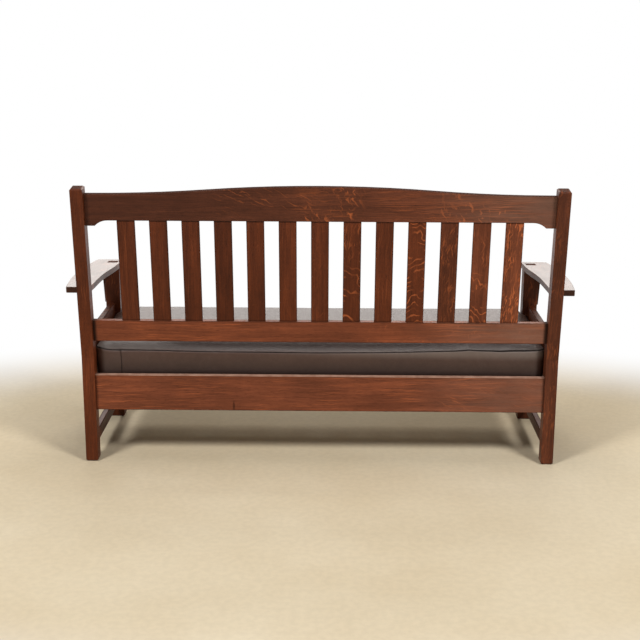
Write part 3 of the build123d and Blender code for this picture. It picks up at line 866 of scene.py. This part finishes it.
def inflate(piece, flags):
    before = [vertex.co.copy() for vertex in piece.data.vertices]
    outward = [vertex.normal.copy() for vertex in piece.data.vertices]
    tight = piece.vertex_groups.new(name="tight")
    tight.add(sorted(flags), 1.0, "REPLACE")
    modifier = piece.modifiers.new("cloth", "CLOTH")
    for name, value in filling["cloth"].items():
        setattr(modifier.settings, name, value)
    modifier.settings.effector_weights.gravity = 0.0
    modifier.point_cache.frame_start = 1
    modifier.point_cache.frame_end = filling["frames"]
    for frameNumber in range(1, filling["frames"] + 1):
        scene.frame_set(frameNumber)
    blown = piece.evaluated_get(bpy.context.evaluated_depsgraph_get())
    places = [vertex.co.copy() for vertex in blown.to_mesh().vertices]
    blown.to_mesh_clear()
    piece.modifiers.remove(modifier)
    piece.vertex_groups.clear()
    for vertex, old, new, normal in zip(piece.data.vertices, before, places, outward):
        move = new - old
        move -= normal * min(0.0, move.dot(normal)) * filling["held"]
        size = move.length
        if size > 1e-9:
            move *= filling["cap"] * math.tanh(size / filling["cap"]) / size
        vertex.co = old + move
    scene.frame_set(1)


puckers = {
    "size": 0.00176,
    "reach": 0.024,  # how far off the seam they run out
    "coarse": (34, 9),  # per metre along the seam and away from it
    "fine": (71, 14),
    "hollow": 0.0016,
    "hollowPitch": (5.5, 7),
    "flatBelow": 0.08,
    "below": 0.4,
    "hollowFade": 0.03,
}


def gather(piece):
    # small puckers that run off the seams, and soft hollows over the top
    c, p = cushion, puckers
    normals = [vertex.normal.copy() for vertex in piece.data.vertices]
    for vertex, normal in zip(piece.data.vertices, normals):
        x, along, up = seatLocal(vertex.co)
        toEnd = c["half"] - abs(x)
        toSide = min(along - c["front"], c["rear"] - along)
        inFromEdge = max(0.0, min(toEnd, toSide))
        below = max(0.0, boxingAt(x, along) - up)
        distance = math.hypot(inFromEdge, below)
        run = along if toEnd < toSide else x
        side = math.copysign(3.0, along + 0.27) + math.copysign(5.0, x) * (toEnd < toSide)
        fold = noise.noise(Vector((run * p["coarse"][0], distance * p["coarse"][1], side)))
        fold += 0.5 * noise.noise(Vector((run * p["fine"][0], distance * p["fine"][1], side + 9)))
        hollow = noise.noise(Vector((x * p["hollowPitch"][0], along * p["hollowPitch"][1], 1.7)))
        hollow *= p["hollow"] * (1 if up > p["flatBelow"] else p["below"])
        fold *= p["size"] * math.exp(-distance / p["reach"])
        vertex.co += normal * (fold + hollow * min(1.0, distance / p["hollowFade"]))


def settleIn(piece):
    # flat where it rests, and inside the room between the rails, posts and legs
    c = cushion
    radius = c["rearRadius"]
    for vertex in piece.data.vertices:
        x, along, up = seatLocal(vertex.co)
        if abs(x) > c["half"] - radius and along > c["rear"] - radius:
            centre = Vector((math.copysign(c["half"] - radius, x), c["rear"] - radius))
            offset = Vector((x, along)) - centre
            if offset.length > radius:
                offset *= radius / offset.length
            x, along = centre + offset
        along = max(min(along, c["rear"] + c["rearRoom"]), c["front"] - c["frontRoom"])
        limit = c["half"] if along > c["notch"] + c["frontRoom"] else c["notchHalf"]
        vertex.co = seatPoint(max(-limit, min(limit, x)), along, max(0.0, up))


def keepResult(piece, modifier):
    # the modifier's result becomes the piece's own mesh, shaded smooth
    plain, graph = piece.data, bpy.context.evaluated_depsgraph_get()
    made = bpy.data.meshes.new_from_object(piece.evaluated_get(graph))
    piece.modifiers.remove(modifier)
    piece.data = made
    bpy.data.meshes.remove(plain)
    made.name = piece.name
    for polygon in made.polygons:
        polygon.use_smooth = True


seam = {
    "depth": 0.0042,
    "strength": {None: 0.0, "top": 1.0, "bottom": 0.8, "join": 0.36},
    "wander": ((9, 0.0012), (31, 0.0007)),  # waves per metre, and how high
}


def sewSeams(piece, flags):
    # each seam becomes a narrow groove with the leather rolling down into it
    data, strength = piece.data, seam["strength"]
    normals = [vertex.normal.copy() for vertex in data.vertices]
    for index, kind in flags.items():
        vertex = data.vertices[index]
        x, along, up = seatLocal(vertex.co)
        vertex.co = vertex.co - normals[index] * (seam["depth"] * strength[kind])
        if kind != "top":
            continue
        for waves, high in seam["wander"]:
            vertex.co.z += noise.noise(Vector((x * waves, along * waves, 1.0))) * high
    line = data.attributes.new("seamLine", "FLOAT", "POINT")
    line.data.foreach_set("value", [strength[flags.get(index)] for index in range(len(data.vertices))])
    modifier = piece.modifiers.new("rounding", "SUBSURF")
    modifier.levels = modifier.render_levels = 1
    keepResult(piece, modifier)


leatherFinish = {
    "dark": (0.050, 0.0225, 0.0150),
    "light": (0.064, 0.0300, 0.0205),
    "worn": (0.076, 0.0380, 0.0270),
    # the dark of the seams, also used for the painted shade
    "seam": (0.008, 0.0050, 0.0042),
    # pale colour of the painted highlights
    "bloom": (0.300, 0.2650, 0.2400),
    "roughness": (0.3, 0.7, 0.66, 0.54),
    "specular": 0.10,
    "coat": 0.73,
    "coatRoughness": 0.37,
    "wornShare": (0.42, 0.68, 0.0, 0.35),
    "seamDark": (0.12, 0.44),
    "pit": (0.0, 0.18),
    "pitDark": 0.25,
    "pitRelief": (0.30, 0.00025),
    "creaseRelief": (0.14, 0.0020),
    # painted shade: the boxing darker down towards the deck
    "low": (0.314, 0.412, 0.72, 0.0),  # darker down towards the deck
    # a painted highlight below the rim of the rear boxing, on one half only
    "rimUp": (0.382, 0.412),
    "rimAcross": (-0.45, 0.30, 0.26, 0.0),
    "rimBack": (0.196, 0.206),
    # and a painted highlight on the rounded top at the other end
    "endUp": (0.412, 0.424),
    "endAcross": (0.46, 0.70),
    "endBack": (0.135, 0.170),
    "endStop": (0.205, 0.212, 0.36, 0.0),
    # a painted shadow along the top under the back rail, where the coat is also left off
    "stripStart": (0.100, 0.140),
    "stripStop": (0.172, 0.197, 1.0, 0.0),
    "stripAcross": (0.48, 0.68, 0.85, 0.15),
    "stripDark": 0.4,
}


def leather():
    tree = Tree("brownLeather")
    finish = leatherFinish
    where = tree.source("Object")
    across, back, up = (tree.axis(where, name) for name in "XYZ")

    def reach(value, name):
        return tree.ease(value, *finish[name])

    cloud = tree.noise(where, (5, 5, 5), detail=3.0)
    mottle = tree.noise(where, (60, 60, 60))
    pit = reach(tree.cellEdges(where, (760, 760, 760)), "pit")
    crease = tree.noise(where, (26, 40, 30), detail=5.0, distortion=1.2)
    line = tree.add("Attribute", attribute_name="seamLine")
    shadow = reach(line.outputs["Fac"], "seamDark")
    offSeam = tree.flip(shadow)
    # painted highlights below the rear rim and on the rounded top at one end
    rimHighlight = tree.times(reach(up, "rimUp"), reach(across, "rimAcross"), reach(back, "rimBack"))
    endHighlight = tree.times(reach(across, "endAcross"), reach(back, "endBack"), reach(back, "endStop"))
    endHighlight = tree.times(endHighlight, reach(up, "endUp"))
    # painted shadow of the back rail on the top
    railShadow = tree.times(reach(back, "stripStart"), reach(back, "stripStop"), reach(across, "stripAcross"))
    colour = tree.ramp(cloud, [(0.32, finish["dark"]), (0.68, finish["light"])])
    for amount, layer in (
        (reach(mottle, "wornShare"), "worn"),
        (shadow, "seam"),
        (tree.times(tree.flip(pit), finish["pitDark"]), "seam"),
        # painted shade, darker down towards the deck
        (reach(up, "low"), "seam"),
        (tree.times(rimHighlight, offSeam), "bloom"),
        (tree.times(endHighlight, offSeam), "bloom"),
        (tree.times(railShadow, finish["stripDark"]), "seam"),
    ):
        colour = tree.mix(amount, colour, finish[layer])
    coat = tree.times(tree.flip(tree.math("MAXIMUM", shadow, railShadow)), finish["coat"])
    relief = tree.bump(crease, *finish["creaseRelief"], tree.bump(pit, *finish["pitRelief"]))
    tree.give(BaseColor=colour, Roughness=reach(mottle, "roughness"), SpecularIORLevel=finish["specular"])
    tree.give(CoatWeight=coat, CoatRoughness=finish["coatRoughness"], Normal=relief, CoatNormal=relief)
    return tree.material


# The thread that shows down in the seams, one stitch after another

thread = {
    "pitch": 0.0042,
    "length": 0.0030,
    "radius": 0.00032,
    "proud": 0.0003,
    "slant": 0.16,
    "seed": 7,
    "sides": 5,
    "rings": 3,
    "dark": (0.014, 0.0080, 0.0060),
    "light": (0.036, 0.0210, 0.0160),
    "twistShare": 0.6,
    "roughness": (0.3, 0.7, 0.72, 0.58),
    "specular": 0.25,
}


def threadMaterial():
    tree = Tree("seamThread")
    where = tree.source("Object")
    twist = tree.noise(where, (2600, 2600, 2600), detail=2.0)
    worn = tree.noise(where, (35, 35, 35), detail=2.0)
    share = thread["twistShare"]
    mixed = tree.math("ADD", tree.times(twist, share), tree.times(worn, 1 - share))
    tree.give(
        BaseColor=tree.ramp(mixed, [(0.35, thread["dark"]), (0.65, thread["light"])]),
        Roughness=tree.ease(twist, *thread["roughness"]),
        SpecularIORLevel=thread["specular"],
    )
    return tree.material


def stitchTree():
    tree = bpy.data.node_groups.new("stitchesAlongSeam", "GeometryNodeTree")
    kinds = {
        "Seam": "Geometry", "Pitch": "Float", "Length": "Float", "Radius": "Float",
        "Slant": "Float", "Seed": "Int", "Thread": "Material",
    }
    sockets = {}
    for name, kind in kinds.items():
        socket = tree.interface.new_socket(name=name, in_out="INPUT", socket_type="NodeSocket" + kind)
        sockets[name] = socket.identifier
    tree.interface.new_socket(name="Stitches", in_out="OUTPUT", socket_type="NodeSocketGeometry")

    def add(kind, inputs=(), **settings):
        return addNode(tree, kind, inputs, **settings)

    given = add("NodeGroupInput").outputs
    path = add("GeometryNodeMeshToCurve", {"Mesh": given["Seam"]})
    cut = {"Curve": path.outputs[0], "Length": given["Pitch"]}
    even = add("GeometryNodeResampleCurve", cut, mode="LENGTH")
    size = {"Segments": thread["sides"], "Rings": thread["rings"], "Radius": 1.0}
    bead = add("GeometryNodeMeshUVSphere", size)
    half = add("ShaderNodeMath", {0: given["Length"], 1: 0.5}, operation="MULTIPLY")
    scale = add("ShaderNodeCombineXYZ", {0: given["Radius"], 1: given["Radius"], 2: half.outputs[0]})
    # each stitch lies along the seam, a little out of true
    spreadOf = {"Min": (-1, -1, -1), "Max": (1, 1, 1), "Seed": given["Seed"]}
    jitter = add("FunctionNodeRandomValue", spreadOf, data_type="FLOAT_VECTOR")
    leaning = {0: jitter.outputs["Value"], "Scale": given["Slant"]}
    lean = add("ShaderNodeVectorMath", leaning, operation="SCALE")
    tangent = add("GeometryNodeInputTangent")
    aim = add("ShaderNodeVectorMath", {0: tangent.outputs[0], 1: lean.outputs[0]}, operation="ADD")
    turn = add("FunctionNodeAlignRotationToVector", {"Vector": aim.outputs[0]}, axis="Z")
    laid = {
        "Points": even.outputs[0], "Instance": bead.outputs["Mesh"],
        "Rotation": turn.outputs[0], "Scale": scale.outputs[0],
    }
    place = add("GeometryNodeInstanceOnPoints", laid)
    real = add("GeometryNodeRealizeInstances", {0: place.outputs[0]})
    dressed = add("GeometryNodeSetMaterial", {"Geometry": real.outputs[0], "Material": given["Thread"]})
    add("NodeGroupOutput", {0: dressed.outputs[0]})
    return tree, sockets


def makeStitches(piece, paths):
    vertices = piece.data.vertices
    points, edges = [], []
    for path in paths:
        start = len(points)
        points += [vertices[index].co + vertices[index].normal * thread["proud"] for index in path]
        edges += [(start + n, start + (n + 1) % len(path)) for n in range(len(path))]
    data = bpy.data.meshes.new("seamPath")
    data.from_pydata(points, edges, [])
    stitches = addObject("seamStitches", data)
    tree, sockets = stitchTree()
    modifier = stitches.modifiers.new("stitches", "NODES")
    modifier.node_group = tree
    for name in ("Pitch", "Length", "Radius", "Slant", "Seed"):
        modifier[sockets[name]] = thread[name.lower()]
    modifier[sockets["Thread"]] = threadMaterial()
    keepResult(stitches, modifier)
    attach(stitches, "cushion")


def makeCushion():
    piece, flags, paths = cushionCage()
    inflate(piece, flags)
    gather(piece)
    settleIn(piece)
    sewSeams(piece, flags)
    piece.data.materials.append(leather())
    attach(piece, "cushion")
    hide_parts("seat_cushion")
    makeStitches(piece, paths)


# Floor, world and lamps

studio = {
    "floor": (0.62, 0.52, 0.365),
    "floorPale": (0.70, 0.61, 0.455),
    "floorRadius": 9.0,
    "floorRoughness": 0.95,
    "fadeCentre": 0.4,
    "fadeAcross": 0.62,
    "fade": (1.10, 1.90),
    "ambient": 0.06,
    "ambientTint": (1.0, 0.985, 0.96, 1),
}
white = (1, 1, 1, 1)


def backgroundRays(tree):
    # rays that see the white background: the camera's, and those off metal or through glass
    rayKinds = addNode(tree, "ShaderNodeLightPath").outputs
    inputs = {0: rayKinds["Is Glossy Ray"], 1: rayKinds["Is Transmission Ray"]}
    glass = addNode(tree, "ShaderNodeMath", inputs, operation="MAXIMUM")
    inputs = {0: rayKinds["Is Camera Ray"], 1: glass.outputs[0]}
    return addNode(tree, "ShaderNodeMath", inputs, operation="MAXIMUM").outputs[0]


def makeFloor():
    mesh = bmesh.new()
    bmesh.ops.create_circle(mesh, cap_ends=True, radius=studio["floorRadius"], segments=96)
    data = bpy.data.meshes.new("floor")
    mesh.to_mesh(data)
    mesh.free()
    floor = addObject("floor", data)
    tree = Tree("paleFloor")
    where = tree.source("Object")
    cloud = tree.noise(where, (0.9, 0.9, 0.9), detail=5.0, rough=0.6)
    speck = tree.noise(where, (45, 45, 45))
    colour = tree.ramp(cloud, [(0.35, studio["floor"]), (0.65, studio["floorPale"])])
    tree.give(
        BaseColor=tree.scaled(colour, tree.ease(speck, 0.3, 0.7, 0.94, 1.0)),
        Roughness=studio["floorRoughness"],
        SpecularIORLevel=0.0,
        Normal=tree.bump(speck, 0.1, 0.001),
    )
    # away from the settle the floor fades to the white of the background
    far = tree.length(tree.stretch(where, (studio["fadeAcross"], 1.0, 1.0), (0, -studio["fadeCentre"], 0)))
    fade = tree.times(tree.ease(far, *studio["fade"]), backgroundRays(tree.tree))
    glow = tree.add("Emission", {"Color": white})
    blend = tree.add("MixShader", {0: fade, 1: tree.shader.outputs[0], 2: glow.outputs[0]})
    connect(tree.tree, tree.output.inputs["Surface"], blend.outputs[0])
    data.materials.append(tree.material)


def makeWorld():
    world = bpy.data.worlds.new("studio")
    scene.world = world
    world.use_nodes = True
    tree = world.node_tree
    tree.nodes.clear()
    shown = addNode(tree, "ShaderNodeBackground", {"Color": white, "Strength": 1.0})
    inputs = {"Color": studio["ambientTint"], "Strength": studio["ambient"]}
    ambient = addNode(tree, "ShaderNodeBackground", inputs)
    inputs = {0: backgroundRays(tree), 1: ambient.outputs[0], 2: shown.outputs[0]}
    blend = addNode(tree, "ShaderNodeMixShader", inputs)
    addNode(tree, "ShaderNodeOutputWorld", {"Surface": blend.outputs[0]})


lamps = {
    # place, what it points at, size, radiance, tint
    "keyLeft": ((3.0, 3.8, 4.2), (0.0, 0.0, 0.5), (1.2, 1.2), 46.0, (1.0, 0.985, 0.96)),
    "keyRight": ((-3.0, 3.8, 4.2), (0.0, 0.0, 0.5), (1.2, 1.2), 48.0, (1.0, 0.985, 0.96)),
    "lowLamp": ((0.0, -4.2, 2.2), (0.0, 0.0, 0.6), (6.0, 1.6), 2.2, (1.0, 0.95, 0.88)),
    "frontLamp": ((0.0, -3.2, 3.6), (0.0, 0.0, 0.2), (3.6, 1.2), 4.8, (1.0, 0.96, 0.91)),
    "topLamp": ((0.0, 0.3, 4.2), (0.0, 0.0, 0.0), (1.8, 0.8), 6.5, (1.0, 0.97, 0.93)),
}


def makeLamps():
    for name, (place, target, size, radiance, tint) in lamps.items():
        data = bpy.data.lights.new(name, "AREA")
        data.shape = "RECTANGLE"
        data.size, data.size_y = size
        data.energy = radiance * math.pi * size[0] * size[1]
        data.color = tint
        lamp = addObject(name, data)
        lamp.location = place
        lamp.rotation_euler = (Vector(target) - Vector(place)).to_track_quat("-Z", "Y").to_euler()
        lamp.visible_camera = False


addCamera()
makeWorld()
makeLamps()
makeFloor()
print("stage: camera, lamps and floor ready")
finishOak()
finishHidden()
print("stage: wood and screws finished")
makeCushion()
print("stage: cushion made")
